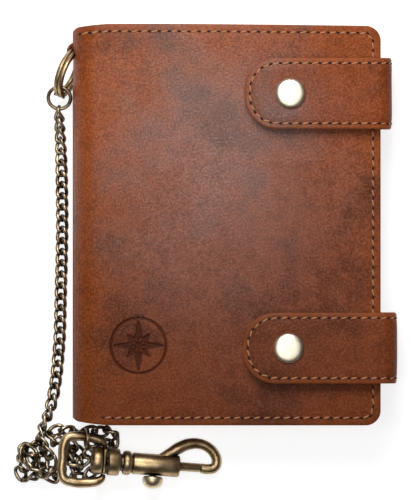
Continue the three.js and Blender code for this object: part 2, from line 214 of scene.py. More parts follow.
# The heap: a loop on top, crooked loops under it to the left, a crooked pass under the eye and back, and a
# strand along the wallet's bottom edge that turns and climbs to the eye.
heap_route = [
    (-58.2, -64.9, 1.9), (-57.7, -68.0, 3.5), (-56.0, -70.9, 4.9), (-54.7, -73.7, 5.2), (-55.7, -76.6, 5.2),
    (-58.6, -77.4, 5.0), (-60.9, -75.4, 4.8), (-60.5, -72.3, 4.9), (-62.4, -70.2, 4.4), (-64.3, -72.3, 3.6),
    (-63.2, -75.3, 3.2), (-64.2, -78.0, 1.9), (-61.5, -79.2, 1.4), (-59.4, -76.9, 1.4), (-61.2, -74.3, 1.4),
    (-63.8, -72.2, 1.4), (-62.2, -69.2, 1.4), (-59.2, -69.3, 1.5), (-57.6, -72.1, 1.5), (-57.3, -75.3, 1.5),
    (-56.8, -78.4, 1.4), (-53.8, -79.1, 1.3), (-51.9, -76.7, 1.3), (-51.0, -73.6, 1.3), (-49.4, -71.1, 1.3),
    (-46.7, -70.7, 1.3), (-45.5, -73.1, 1.3), (-46.8, -75.6, 1.3), (-48.2, -78.2, 1.4), (-45.3, -79.3, 1.3),
    (-42.5, -77.7, 1.4), (-41.6, -74.7, 1.4), (-42.5, -71.8, 1.9), (-44.6, -73.6, 3.2), (-46.9, -75.4, 3.6),
    (-48.8, -73.2, 3.8), (-47.8, -70.3, 3.6), (-49.7, -68.0, 2.8), (-52.6, -67.7, 1.8), (-55.2, -66.6, 1.4),
    (-54.0, -64.7, 1.3), (-50.8, -64.4, 1.3), (-47.3, -65.0, 1.3), (-44.0, -64.5, 1.3), (-40.8, -65.0, 1.3),
    (-37.6, -64.6, 1.4), (-34.9, -65.6, 1.6), (-35.2, -68.2, 2.2), (-38.2, -68.8, 3.0), (-41.2, -68.5, 3.9),
    (-43.4, -69.0, 4.6),
]
chain_route = smooth_route([Vector(p) * MM for p in run_route + heap_route], link_pitch)


def curb_link():
    """One twisted oval link, its length along X, lying in the XY plane."""
    bm = wire_ring(1.0, 0.5, 18, 7)  # a ring of radius 1 in wire 1 thick, stretched below to the link's size
    across = (link_width - link_wire) / 2
    along = (link_length - link_wire) / 2
    for vert in bm.verts:
        turn = math.atan2(vert.co.y, vert.co.x)
        out = (math.hypot(vert.co.x, vert.co.y) - 1.0) * link_wire
        rise = vert.co.z * link_wire
        vert.co.x = math.cos(turn) * (along + out)
        vert.co.y = math.sin(turn) * (across + out)
        vert.co.z = rise + link_weave * math.sin(2 * turn)
    return bm


def chain_mesh(route, roll):
    """A link at every point of the route, turned about the route by roll(i) and never below the floor."""
    bm = bmesh.new()
    link = bpy.data.meshes.new("curb_link")
    pattern = curb_link()
    pattern.to_mesh(link)
    pattern.free()
    for i, point in enumerate(route):
        ahead = (route[min(i + 1, len(route) - 1)] - route[max(i - 1, 0)]).normalized()
        side = Vector((0, 0, 1)).cross(ahead).normalized()
        up = ahead.cross(side)
        place = Matrix((ahead, side, up)).transposed().to_4x4()
        place = Matrix.Translation(point) @ place @ Matrix.Rotation(roll(i), 4, "X")
        first = len(bm.verts)
        bm.from_mesh(link)
        bm.verts.ensure_lookup_table()
        bmesh.ops.transform(bm, matrix=place, verts=bm.verts[first:])
        below_floor = min(v.co.z for v in bm.verts[first:]) - 0.05 * MM
        bmesh.ops.translate(bm, vec=(0, 0, max(0.0, -below_floor)), verts=bm.verts[first:])
    bpy.data.meshes.remove(link)
    return bm


hanging_links = 6  # from the jump ring until the chain lies flat
turned_link = 28.5  # middle of the short stretch that lies on edge before the heap
turned_reach = 2.2
first_heap_link = 30


def link_roll(i):
    """Edge-on at the jump ring and again before the heap, nearly flat between, and uneven in the heap."""
    hanging = max(0.0, 1.0 - i / hanging_links)
    turned = math.exp(-((i - turned_link) / turned_reach) ** 2)
    in_heap = min(1.0, max(0.0, (i - first_heap_link) / 3))
    return 0.3 + hanging * 0.8 + turned * 1.1 + in_heap * (0.5 + 0.9 * math.sin(i * 1.9))


chain = finish_mesh("curb_chain", chain_mesh(chain_route, link_roll), chain_brass)
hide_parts("chain_run", "chain_heap")
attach(chain, "back_half")


# ---- Split ring and jump ring. The split ring is flat spring wire wound twice, so a groove runs round
# it between the turns; it hangs in the leather tab. The jump ring is round wire.
ring_center = Vector((-49.3, 47.3, 8.1)) * MM
ring_long = Vector((-0.38, -0.925, 0)).normalized()
ring_rise = Vector((ring_long.y, -ring_long.x, 0)) * math.cos(math.radians(70))
ring_rise.z = math.sin(math.radians(70))
ring_place = Matrix((ring_long, ring_rise, ring_long.cross(ring_rise))).transposed().to_4x4()
ring_place = Matrix.Translation(ring_center) @ ring_place
ring_outer = 8.0 * MM
ring_inner = 6.35 * MM
turn_height = 1.36 * MM
turn_steps = 72

bm = bmesh.new()
section = bmesh.ops.create_grid(bm, x_segments=1, y_segments=1, size=0.5)["verts"]
bmesh.ops.scale(bm, vec=(ring_outer - ring_inner, turn_height * 0.92, 1), verts=section)
bmesh.ops.bevel(bm, geom=section, offset=0.3 * MM, offset_type="OFFSET", segments=3, profile=0.5,
                affect="VERTICES", material=-1)
stand = Matrix.Translation(((ring_outer + ring_inner) / 2, 0, -turn_height))
bmesh.ops.transform(bm, matrix=stand @ Matrix.Rotation(math.pi / 2, 4, "X"), verts=bm.verts)
bmesh.ops.spin(bm, geom=bm.verts[:] + bm.edges[:] + bm.faces[:], axis=(0, 0, 1), cent=(0, 0, 0),
               dvec=(0, 0, turn_height * 2 / (2 * turn_steps)), angle=4 * math.pi, steps=2 * turn_steps)
bmesh.ops.remove_doubles(bm, verts=bm.verts, dist=0.005 * MM)
low = min(v.co.z for v in bm.verts)
high = max(v.co.z for v in bm.verts)
bmesh.ops.translate(bm, vec=(0, 0, -(low + high) / 2), verts=bm.verts)
bmesh.ops.recalc_face_normals(bm, faces=bm.faces)
bmesh.ops.transform(bm, matrix=ring_place, verts=bm.verts)
split_ring = finish_mesh("split_ring_coil", bm, hook_brass)
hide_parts("split_ring")
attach(split_ring, "key_ring")

jump_along = Vector((-0.12, -0.95, -0.27)).normalized()
jump_across = Vector((0, 0, 1)).cross(jump_along).normalized()
jump_place = Matrix((jump_along, jump_across, jump_along.cross(jump_across))).transposed().to_4x4()
jump_center = ring_center + ring_long * 7.15 * MM + jump_along * 1.15 * MM
bm = wire_ring(3.5 * MM, 0.6 * MM, 48, 12)
bmesh.ops.transform(bm, matrix=Matrix.Translation(jump_center) @ jump_place, verts=bm.verts)
jump_ring = finish_mesh("jump_ring_wire", bm, chain_brass)
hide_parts("jump_ring")
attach(jump_ring, "back_half")


# ---- Swivel snap hook: cast and turned brass. Its frame has X from the eye to the nose and Y towards
# the hook's back, as the CAD hook lies: yawed a little and leaning down to its nose.
hook_place = (Matrix.Translation(Vector((-38.2, -73.9, 7.1)) * MM)
              @ Matrix.Rotation(math.radians(-4.2), 4, "Z") @ Matrix.Rotation(math.radians(8.5), 4, "Y"))


def turned_on_x(profile, steps=56):
    """A turned solid about X from (radius, distance) pairs in millimetres, as a bmesh."""
    bm = bmesh.new()
    verts = [bm.verts.new((along * MM, radius * MM, 0)) for radius, along in profile]
    edges = [bm.edges.new(pair) for pair in zip(verts, verts[1:])]
    bmesh.ops.spin(bm, geom=verts + edges, axis=(1, 0, 0), cent=(0, 0, 0), dvec=(0, 0, 0),
                   angle=2 * math.pi, steps=steps, use_merge=True)
    bmesh.ops.remove_doubles(bm, verts=bm.verts, dist=0.002 * MM)
    bmesh.ops.recalc_face_normals(bm, faces=bm.faces)
    return bm


def bent_wire(points, radii):
    """A round bar along a smooth path, its radius changing from point to point, as a bmesh."""
    data = bpy.data.curves.new("bar", "CURVE")
    data.dimensions = "3D"
    data.bevel_depth = 1.0
    data.bevel_resolution = 4
    data.resolution_u = 8
    data.use_fill_caps = True
    spline = data.splines.new("BEZIER")
    spline.bezier_points.add(len(points) - 1)
    for node, point, radius in zip(spline.bezier_points, points, radii):
        node.co = Vector(point) * MM
        node.radius = radius * MM
        node.handle_left_type = node.handle_right_type = "AUTO"
    holder = bpy.data.objects.new("bar", data)
    bpy.context.collection.objects.link(holder)
    mesh = bpy.data.meshes.new_from_object(holder.evaluated_get(bpy.context.evaluated_depsgraph_get()))
    bm = bmesh.new()
    bm.from_mesh(mesh)
    bpy.data.objects.remove(holder)
    bpy.data.curves.remove(data)
    bpy.data.meshes.remove(mesh)
    bmesh.ops.remove_doubles(bm, verts=bm.verts, dist=0.002 * MM)
    bmesh.ops.recalc_face_normals(bm, faces=bm.faces)
    return bm


def joined(*parts):
    """Several bmeshes as one."""
    whole = bmesh.new()
    for part in parts:
        carrier = bpy.data.meshes.new("carrier")
        part.to_mesh(carrier)
        part.free()
        whole.from_mesh(carrier)
        bpy.data.meshes.remove(carrier)
    return whole


def hook_piece(name, bm, node, body, look=hook_brass):
    """Puts a piece drawn in the hook's frame in its place, for one CAD node."""
    bmesh.ops.transform(bm, matrix=hook_place, verts=bm.verts)
    made = finish_mesh(name, bm, look)
    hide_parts(node)
    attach(made, body)
    made.data.set_sharp_from_angle(angle=math.radians(38))
    return made


# The eye: a D of 3 mm wire, flattened to a drilled plate where the swivel's rivet goes through.
eye_half = [(0, 4.1, 0), (-0.35, 5.4, 0), (-1.8, 6.45, 0), (-5, 7.1, 0), (-9.4, 7.2, 0), (-12.1, 6.4, 0),
            (-13.1, 4.2, 0)]
eye_points = eye_half + [(-13.1, 0, 0)] + [(x, -y, z) for x, y, z in reversed(eye_half)]
eye_radii = [0.75, 1.15, 1.45, 1.5, 1.5, 1.5, 1.5]
eye_radii += [1.45] + eye_radii[::-1]
bm = bmesh.new()
bmesh.ops.create_cube(bm, size=1)
bmesh.ops.scale(bm, vec=(1.2 * MM, 8.0 * MM, 4.6 * MM), verts=bm.verts)
bmesh.ops.bevel(bm, geom=bm.edges[:], offset=0.4 * MM, offset_type="OFFSET", segments=3, profile=0.5,
                affect="EDGES", material=-1)
eye = hook_piece("hook_eye_wire", joined(bent_wire(eye_points, eye_radii), bm), "hook_eye", "back_half")

rivet_profile = [(0, -3.95), (3.2, -3.9), (4.0, -3.7), (4.3, -3.2), (4.3, -1.4), (4.05, -0.95), (1.2, -0.9),
                 (1.2, 4.4), (0, 4.4)]
rivet = hook_piece("swivel_rivet_head", turned_on_x(rivet_profile), "swivel_rivet", "snap_hook")

# The body: collar, neck and barrel turned in one, with the hook's curved bar rising from the barrel.
barrel_profile = [
    (1.5, 1.0), (3.9, 0.9), (4.3, 1.3), (4.3, 4.2), (4.0, 4.7), (2.8, 4.95), (2.7, 5.4), (2.8, 5.8),
    (3.5, 6.0), (3.8, 6.5), (3.85, 7.1), (3.8, 7.8), (3.5, 8.3), (3.0, 8.5), (2.95, 8.8), (3.25, 9.0),
    (3.4, 9.3), (3.4, 23.3), (3.2, 23.65), (1.9, 23.7), (1.75, 23.5), (1.75, 7.0), (0, 7.0),
]
hook_points = [(16.8, 1.9, 0), (20.0, 3.5, 0), (23.2, 5.7, 0), (26.4, 7.2, 0), (29.4, 7.5, 0), (32.4, 6.6, 0),
               (34.8, 4.4, 0), (35.5, 2.1, 0), (34.8, 0.4, 0), (33.0, -0.2, 0), (30.75, -0.1, 0)]
hook_radii = [1.1, 1.7, 1.9, 1.8, 1.65, 1.6, 1.6, 1.6, 1.6, 1.6, 1.55]
bm = joined(turned_on_x(barrel_profile), bent_wire(hook_points, hook_radii))
hook_body = hook_piece("hook_and_barrel", bm, "hook_body", "snap_hook")

bolt_profile = [(0, 14.2), (1.4, 14.2), (1.4, 30.4), (1.25, 30.6), (0, 30.62)]
bolt = hook_piece("hook_bolt_rod", turned_on_x(bolt_profile, 32), "hook_bolt", "spring_bolt")

knob_profile = [(0, 0.7), (0.95, 0.75), (0.95, 3.45), (1.6, 3.55), (2.8, 3.75), (3.2, 4.3), (3.25, 5.1),
                (2.95, 6.1), (2.3, 6.9), (1.2, 7.4), (0, 7.55)]
bm = turned_on_x(knob_profile, 40)
bmesh.ops.transform(bm, matrix=Matrix.Translation((15.7 * MM, 0, 0)) @ Matrix.Rotation(-math.pi / 2, 4, "Z"),
                    verts=bm.verts)
# The thumb has worn the black finish off the knob.
knob_brass = antique_brass("worn_brass_knob", "#f4e4c6", "#dcc49c", "#140c07", 1.0 * MM, 0.15, 0.36, 0.5)
knob = hook_piece("thumb_knob_button", bm, "thumb_knob", "spring_bolt", knob_brass)

# The bolt's spring, five open turns of steel wire in the barrel behind the bolt; on the real hook it
# shortens as the bolt slides back, and here it is a fixed coil with a mesh of its own.
spring_look, tree, shader = material("spring_steel_wire", Metallic=1.0, Roughness=0.32)
coords = add(tree, "TexCoord").outputs["Object"]
haze = add(tree, "TexNoise", {"Vector": coords, "Scale": 900.0}).outputs["Fac"]
tree.links.new(mix(tree, haze, "#8d8d8a", "#6f6e69"), shader.inputs["Base Color"])
spring_turns = 5
spring_start, spring_stop = 7.55 * MM, 13.65 * MM
bm = bmesh.new()
spring_radius, spring_wire = 1.2 * MM, 0.18 * MM
section = Matrix.Translation((spring_start, spring_radius, 0))
bmesh.ops.create_circle(bm, segments=8, radius=spring_wire, matrix=section)
steps = 24 * spring_turns
bmesh.ops.spin(bm, geom=bm.verts[:] + bm.edges[:], axis=(1, 0, 0), cent=(0, 0, 0), steps=steps,
               dvec=((spring_stop - spring_start) / steps, 0, 0), angle=2 * math.pi * spring_turns)
bmesh.ops.remove_doubles(bm, verts=bm.verts, dist=0.001 * MM)
bmesh.ops.holes_fill(bm, edges=[e for e in bm.edges if e.is_boundary])
bmesh.ops.recalc_face_normals(bm, faces=bm.faces)
bmesh.ops.transform(bm, matrix=hook_place, verts=bm.verts)
spring = finish_mesh("bolt_coil_spring", bm, spring_look)
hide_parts("bolt_spring")
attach(spring, "snap_hook")
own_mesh(spring)

# The end link holds the eye's upper arm.
bm = wire_ring(2.55 * MM, 0.6 * MM, 32, 10)
stand = Matrix.Translation(Vector((-6, 6.8, 0)) * MM) @ Matrix.Rotation(math.pi / 2, 4, "Y")
bmesh.ops.transform(bm, matrix=stand, verts=bm.verts)
end_link = hook_piece("chain_end_ring", bm, "chain_end_link", "back_half")


# ---- Outer leather: one piece of oiled pull-up cowhide, 1.6 mm thick, cut flat with rounded fore-edge
# corners and folded round the spine. Rubbing and bending lighten it; its oil darkens the middle.
half_height = 62.5 * MM
fore_edge = 48.0 * MM
spine_seam = -40.0 * MM
spine_bulge = 8.0 * MM
wallet_thickness = 18.0 * MM
hide_thickness = 1.6 * MM
corner_radius = 4.7 * MM
mid_height = wallet_thickness / 2
cover_width = fore_edge - spine_seam


def oiled_leather(name, edge, middle, deep, light):
    """Pull-up leather: cloudy colour, fine speckled grain with a painted highlight on its raised points,
    darker where pressed, lighter at its rims, and painted shade towards its bottom.
    """
    made, tree, shader = material(name)
    coords = add(tree, "TexCoord").outputs["Object"]

    def pattern(scale, detail, roughness):
        """Noise fixed to the leather, its features about one over scale metres wide."""
        inputs = {"Vector": coords, "Scale": scale, "Detail": detail, "Roughness": roughness}
        return add(tree, "TexNoise", inputs).outputs["Fac"]

    def round_patch(location, scale):
        """A soft round patch, 1 at its middle and 0 at its rim."""
        placed = add(tree, "Mapping", {"Vector": coords, "Location": location, "Scale": scale}).outputs[0]
        return add(tree, "TexGradient", {"Vector": placed}, gradient_type="SPHERICAL").outputs["Fac"]

    clouds = pattern(45.0, 6.0, 0.62)
    mottle = pattern(260.0, 6.0, 0.7)
    pores = pattern(1600.0, 3.0, 0.7)  # about 0.6 mm apart
    # Dark oil cloud over the middle of the cover, about 55 mm to each side and 75 mm up and down.
    shape = round_patch((-0.06, 0.0, 0.0), (18.0, 13.0, 1.0))
    soaked = add(tree, "Math", {0: shape, 1: clouds}, operation="ADD").outputs[0]
    hide = mix(tree, remap(tree, soaked, 0.58, 0.95), edge, middle)
    hide = mix(tree, remap(tree, clouds, 0.5, 0.66, 0.0, 0.58), hide, deep)
    hide = mix(tree, remap(tree, mottle, 0.46, 0.7, 0.0, 0.4), hide, deep)
    hide = mix(tree, remap(tree, pores, 0.46, 0.66, 0.0, 0.5), hide, deep)
    # Painted highlight: the grain's raised points are lightened towards pale tan, in place of small satin
    # glints.
    hide = mix(tree, remap(tree, pores, 0.5, 0.32, 0.0, 0.3), hide, "#b67c58")
    # Painted shade: the hide darkens towards its bottom end, where less light falls.
    height = add(tree, "SeparateXYZ", {"Vector": coords}).outputs["Y"]
    hide = mix(tree, remap(tree, height, -0.064, 0.02, 0.4, 0.0), hide, deep)
    rim = add(tree, "Attribute", attribute_name="rim").outputs["Fac"]
    pressed = add(tree, "Attribute", attribute_name="pressed").outputs["Fac"]
    hide = mix(tree, rim, hide, light)
    hide = mix(tree, pressed, hide, deep)
    tree.links.new(hide, shader.inputs["Base Color"])
    # Handling has polished the upper middle of the cover, about 50 mm to each side, in patches.
    handled = round_patch((0.14, -0.38, 0.0), (20.0, 17.0, 1.0))
    patches = remap(tree, clouds, 0.35, 0.65, 0.4, 1.0)
    polish = add(tree, "Math", {0: handled, 1: patches}, operation="MULTIPLY").outputs[0]
    tree.links.new(remap(tree, polish, 0.0, 0.6, 0.1, 0.75), shader.inputs["Specular IOR Level"])
    tree.links.new(remap(tree, pores, 0.35, 0.65, 0.34, 0.5), shader.inputs["Roughness"])
    bump = add(tree, "Bump", {"Height": pores, "Strength": 0.9, "Distance": 0.00022})
    tree.links.new(bump.outputs[0], shader.inputs["Normal"])
    return made


hide_look = oiled_leather("oiled_pull_up_leather", "#9a4b1e", "#8f4f36", "#431c0c", "#a5592a")
strap_look = oiled_leather("oiled_strap_leather", "#954820", "#84462c", "#48200f", "#a5592c")


def arc_length_curve(points):
    """Lengths along a polyline of (x, z) points."""
    lengths = [0.0]
    for (x0, z0), (x1, z1) in zip(points, points[1:]):
        lengths.append(lengths[-1] + math.hypot(x1 - x0, z1 - z0))
    return lengths


def along(points, lengths, s):
    """The (x, z) point at length s along the polyline."""
    for i in range(1, len(points)):
        if s <= lengths[i] or i == len(points) - 1:
            t = (s - lengths[i - 1]) / (lengths[i] - lengths[i - 1])
            (x0, z0), (x1, z1) = points[i - 1], points[i]
            return x0 + (x1 - x0) * t, z0 + (z1 - z0) * t


def round_corner(bm, center, radius, directions, steps=9):
    """Cuts a flat sheet's corner round with planes that touch an arc, between two directions in degrees."""
    start, stop = directions
    for i in range(steps):
        angle = math.radians(start + (stop - start) * (i + 0.5) / steps)
        normal = Vector((math.cos(angle), math.sin(angle), 0))
        near = [f for f in bm.faces if (f.calc_center_median() - Vector(center)).dot(normal) > radius * 0.3]
        geom = near + list({e for f in near for e in f.edges}) + list({v for f in near for v in f.verts})
        bmesh.ops.bisect_plane(bm, geom=geom, dist=1e-7, plane_co=Vector(center) + normal * radius,
                               plane_no=normal, clear_outer=True)


def flat_sheet(x_length, y_length, x_cells, y_cells):
    """A flat sheet from 0 to x_length and centred on Y, as a bmesh grid."""
    bm = bmesh.new()
    bmesh.ops.create_grid(bm, x_segments=x_cells, y_segments=y_cells, size=0.5)
    bmesh.ops.scale(bm, vec=(x_length, y_length, 1), verts=bm.verts)
    bmesh.ops.translate(bm, vec=(x_length / 2, 0, 0), verts=bm.verts)
    return bm


def settle(piece):
    """Applies a piece's modifiers to its mesh."""
    graph = bpy.context.evaluated_depsgraph_get()
    made = bpy.data.meshes.new_from_object(piece.evaluated_get(graph), preserve_all_data_layers=True,
                                           depsgraph=graph)
    piece.modifiers.clear()
    piece.data = made
    return piece


def thicken(piece, thickness, rounding):
    """Gives a leather sheet its thickness inwards and rounds its cut edges."""
    solid = piece.modifiers.new("thickness", "SOLIDIFY")
    solid.thickness = thickness
    solid.offset = -1
    bevel = piece.modifiers.new("cut_edge", "BEVEL")
    bevel.width = rounding
    bevel.segments = 2
    bevel.limit_method = "ANGLE"
    bevel.angle_limit = math.radians(60)
    return settle(piece)


# The folded line of the hide, from the back cover's fore edge round the spine to the front's.
fold = [(fore_edge, 0.0), (spine_seam, 0.0)]
for i in range(1, 24):
    angle = math.pi * i / 24
    fold.append((spine_seam - spine_bulge * math.sin(angle), mid_height - mid_height * math.cos(angle)))
fold += [(spine_seam, wallet_thickness), (fore_edge, wallet_thickness)]
fold_lengths = arc_length_curve(fold)
hide_length = fold_lengths[-1]


def edge_sway(x, side):
    """How far the cover's top or bottom edge strays from straight: hand cut, and pulled in at the spine."""
    to_spine = max(0.0, (spine_seam + 4 * MM - x) / (12 * MM))
    to_bend = max(0.0, (spine_seam - 6 * MM - x) / (2 * MM))
    if side > 0:
        to_fore_edge = max(0.0, (x + 20 * MM) / (68 * MM))
        return -1.3 * MM * to_spine ** 1.5 - 1.1 * MM * to_bend ** 2 - 0.7 * MM * to_fore_edge ** 1.5
    return 1.5 * MM * to_spine ** 1.5 + 0.9 * MM * to_bend ** 2


def swayed(x, y):
    """A point's Y after the edges' sway, which fades out towards the middle of the cover."""
    return y + edge_sway(x, y) * min(1.0, abs(y) / half_height) ** 4


emblem_center = Vector((-27.4, -37.7)) * MM
emblem_radius = 8.6 * MM
emblem_depth = 0.45 * MM
emblem_line = 0.46 * MM


def star_lines():
    """An eight-pointed star: its outline from tip to notch to tip, and a line from its middle to each tip."""
    lines = []
    points = []
    for i in range(16):
        reach = (7.4, 2.3, 4.6, 2.3)[i % 4] * MM
        angle = math.pi / 2 + 2 * math.pi * i / 16
        points.append(Vector((math.cos(angle), math.sin(angle))) * reach)
    for i in range(16):
        lines.append((points[i], points[(i + 1) % 16]))
        if i % 2 == 0:
            lines.append((Vector((0, 0)), points[i]))
    return lines


def line_distance(p, a, b):
    """Distance of a point from a segment in the plane."""
    t = max(0.0, min(1.0, (p - a).dot(b - a) / (b - a).length_squared))
    return (p - a - (b - a) * t).length


star = star_lines()


def emblem_press(x, y):
    """How deep the stamped emblem is at a point of the front cover, from 0 to 1."""
    p = Vector((x, y)) - emblem_center
    if p.length > emblem_radius + 1 * MM:
        return 0.0
    distance = min(abs(p.length - emblem_radius), min(line_distance(p, a, b) for a, b in star))
    return max(0.0, min(1.0, (emblem_line - distance) / (0.22 * MM)))


def edge_distance(x, y):
    """Distance inside the cover's outline, without the spine side."""
    dx = fore_edge - x
    dy = half_height - abs(y)
    if dx < corner_radius and dy < corner_radius:
        return corner_radius - math.hypot(corner_radius - dx, corner_radius - dy)
    return min(dx, dy)


seam_inset = 2.35 * MM  # from the cut edge to the seam

bm = flat_sheet(hide_length, 2 * half_height, 206, 122)
for end, angles in ((0.0, (90, 180)), (hide_length, (0, 90))):
    x = corner_radius if end == 0.0 else hide_length - corner_radius
    low_angles = (180, 270) if end == 0.0 else (-90, 0)
    round_corner(bm, (x, half_height - corner_radius, 0), corner_radius, angles)
    round_corner(bm, (x, corner_radius - half_height, 0), corner_radius, low_angles)
# The slot for the ring's tab, in the spine near the wallet's top edge, measured round the spine and along it.
slot_round = (cover_width + 2.6 * MM, cover_width + 15.2 * MM)
slot_along = (43.4 * MM, 57.4 * MM)
slot_faces = [f for f in bm.faces
              if slot_round[0] < f.calc_center_median().x < slot_round[1]
              and slot_along[0] < f.calc_center_median().y < slot_along[1]]
bmesh.ops.delete(bm, geom=slot_faces, context="FACES")
# Finer cells where the emblem is stamped.
front_start = fold_lengths[-2]
stamp_s = front_start + emblem_center.x - spine_seam
stamp_reach = emblem_radius + 1.2 * MM
for _ in range(2):
    cells = {e for e in bm.edges
             if all(abs(v.co.x - stamp_s) < stamp_reach and abs(v.co.y - emblem_center.y) < stamp_reach
                    for v in e.verts)}
    bmesh.ops.subdivide_edges(bm, edges=list(cells), cuts=1, use_grid_fill=True)
pressed_layer = bm.verts.layers.float.new("pressed")
rim_layer = bm.verts.layers.float.new("rim")
for vert in bm.verts:
    s, y = vert.co.x, vert.co.y
    x, z = along(fold, fold_lengths, s)
    inside = edge_distance(x, y)
    outside_seam = min(1.0, max(0.0, (seam_inset - 0.3 * MM - inside) / (0.8 * MM)))
    vert[rim_layer] = 0.15 * outside_seam
    depth = 0.0
    if s > front_start:
        pressed = emblem_press(x, y)
        vert[pressed_layer] = 0.85 * pressed
        # Slow waves of 0.3 mm about 30 mm apart, and lesser ones about 11 mm apart.
        soft = noise.noise(Vector((x, y, 0)) * 34) * 0.30 * MM
        soft += noise.noise(Vector((x, y, 5)) * 90) * 0.08 * MM
        seam_dip = 0.25 * MM * math.exp(-((inside - seam_inset) / (0.7 * MM)) ** 2)
        edge_drop = 0.35 * MM * max(0.0, 1 - inside / (1.4 * MM)) ** 2
        clear_of_seam = min(1.0, max(0.0, inside - seam_inset - 1 * MM) / (6 * MM))
        depth = emblem_depth * pressed + seam_dip + edge_drop - soft * clear_of_seam
    elif s < cover_width:
        depth = -0.3 * MM * math.exp(-((inside - seam_inset) / (0.8 * MM)) ** 2)
    vert.co = Vector((x, swayed(x, y), z - depth))
bm.normal_update()
if sum(f.normal.z for f in bm.faces if f.calc_center_median().z > 17 * MM) < 0:
    bmesh.ops.reverse_faces(bm, faces=bm.faces)
hide = finish_mesh("outer_hide", bm, hide_look)
thicken(hide, hide_thickness, 0.3 * MM)
hide.data.set_sharp_from_angle(angle=math.radians(50))
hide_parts("outer_back", "outer_front", "spine_leather")
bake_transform(hide)


# ---- Edge seam of the covers: waxed tan linen thread in hand-punched holes about 3 mm apart. Each
# stitch is a short slanted thread that dips into a hole at both ends; each hole is drawn as a dark lens of
# painted shade.
stitch_pitch = 3.1 * MM
thread_radius = 0.3 * MM
stitch_slant = math.radians(13)
hole_size = Vector((0.7, 0.4, 0.2)) * MM  # half of a punched slit's length, width and height

thread_look, tree, shader = material("waxed_linen_thread", Roughness=0.6)
coords = add(tree, "TexCoord").outputs["Object"]
# Twist of the plies, drawn at about 0.4 mm so that it shows.
twist = add(tree, "TexNoise", {"Vector": coords, "Scale": 2500.0, "Detail": 2.0}).outputs["Fac"]
tree.links.new(mix(tree, twist, "#a8663f", "#c98f62"), shader.inputs["Base Color"])
bump = add(tree, "Bump", {"Height": twist, "Strength": 0.4, "Distance": 0.0001})
tree.links.new(bump.outputs[0], shader.inputs["Normal"])

# Painted shade: a dark brown lens, mottled a little, in place of the shade inside each punched hole.
hole_shade_look, tree, shader = material("stitch_hole_shade", Roughness=0.9)
coords = add(tree, "TexCoord").outputs["Object"]
hole_shade_mottle = add(tree, "TexNoise", {"Vector": coords, "Scale": 1200.0}).outputs["Fac"]
tree.links.new(mix(tree, hole_shade_mottle, "#1e0a04", "#361409"), shader.inputs["Base Color"])


def walk(points, pitch):
    """Points about a pitch apart, evenly spaced along an open polyline of (x, y) points."""
    lengths = arc_length_curve(points)
    count = max(1, round(lengths[-1] / pitch))
    stops = [along(points, lengths, lengths[-1] * i / count) for i in range(count + 1)]
    return [Vector(p) for p in stops]


def arc(center, radius, start, stop, steps=10):
    """Points on an arc between two angles in degrees."""
    angles = [math.radians(start + (stop - start) * i / steps) for i in range(steps + 1)]
    return [(center[0] + radius * math.cos(a), center[1] + radius * math.sin(a)) for a in angles]


def seam(name, stops, place, body, blend=None):
    """Stitches between the stops, and a hole at each. place(x, y) gives a point on the leather and its up."""
    threads = bmesh.new()
    holes = bmesh.new()
    for a, b in zip(stops, stops[1:]):
        (start, up), (stop, _) = place(*a), place(*b)
        ahead = stop - start
        side = up.cross(ahead).normalized()
        turned = (ahead.normalized() * math.cos(stitch_slant) + side * math.sin(stitch_slant)).normalized()
        frame_up = turned.cross(up.cross(turned)).normalized()
        basis = Matrix((turned, up.cross(turned).normalized(), frame_up)).transposed().to_4x4()
        center = (start + stop) / 2 + up * thread_radius * 0.35
        length = ahead.length * 0.37
        made = bmesh.ops.create_uvsphere(threads, u_segments=8, v_segments=6, radius=1)["verts"]
        size = Matrix.Diagonal((length, thread_radius, thread_radius, 1))
        shape = Matrix.Translation(center) @ basis @ size
        bmesh.ops.transform(threads, matrix=shape, verts=made)
    for i, point in enumerate(stops):
        at, up = place(*point)
        ahead = place(*stops[min(i + 1, len(stops) - 1)])[0] - place(*stops[max(i - 1, 0)])[0]
        side = up.cross(ahead).normalized()
        turned = ahead.normalized() * math.cos(stitch_slant) - side * math.sin(stitch_slant)
        turned.normalize()
        basis = Matrix((turned, up.cross(turned).normalized(), up)).transposed().to_4x4()
        made = bmesh.ops.create_uvsphere(holes, u_segments=10, v_segments=4, radius=1)["verts"]
        shape = Matrix.Translation(at) @ basis @ Matrix.Diagonal((*hole_size, 1))
        bmesh.ops.transform(holes, matrix=shape, verts=made)
    for bm, look, kind in ((threads, thread_look, "threads"), (holes, hole_shade_look, "holes")):
        made = finish_mesh(f"{name}_{kind}", bm, look)
        if blend:
            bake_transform(made)
        else:
            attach(made, body)


seam_y = half_height - seam_inset
seam_corner = corner_radius - seam_inset
corner_x = fore_edge - corner_radius
corner_y = half_height - corner_radius
seam_line = [(-45.6 * MM, seam_y), *arc((corner_x, corner_y), seam_corner, 90, 0, 4),
             *arc((corner_x, -corner_y), seam_corner, 0, -90, 4), (-38.4 * MM, -seam_y)]
seam_stops = walk(seam_line, stitch_pitch)


def on_front(x, y):
    """A point on the front cover's seam."""
    z = wallet_thickness - 0.22 * MM
    if x < spine_seam:
        z = mid_height + mid_height * math.sqrt(1 - ((spine_seam - x) / spine_bulge) ** 2) + 0.05 * MM
    return Vector((x, swayed(x, y), z)), Vector((0, 0, 1))


def on_back(x, y):
    """A point on the back cover's seam, whose up is down."""
    return Vector((max(x, spine_seam), swayed(x, y), 0.3 * MM)), Vector((0, 0, -1))


seam("front_seam", seam_stops, on_front, "front_half")
back_stops = [p for p in seam_stops if p.x > spine_seam]
seam("back_seam", back_stops, on_back, "back_half")


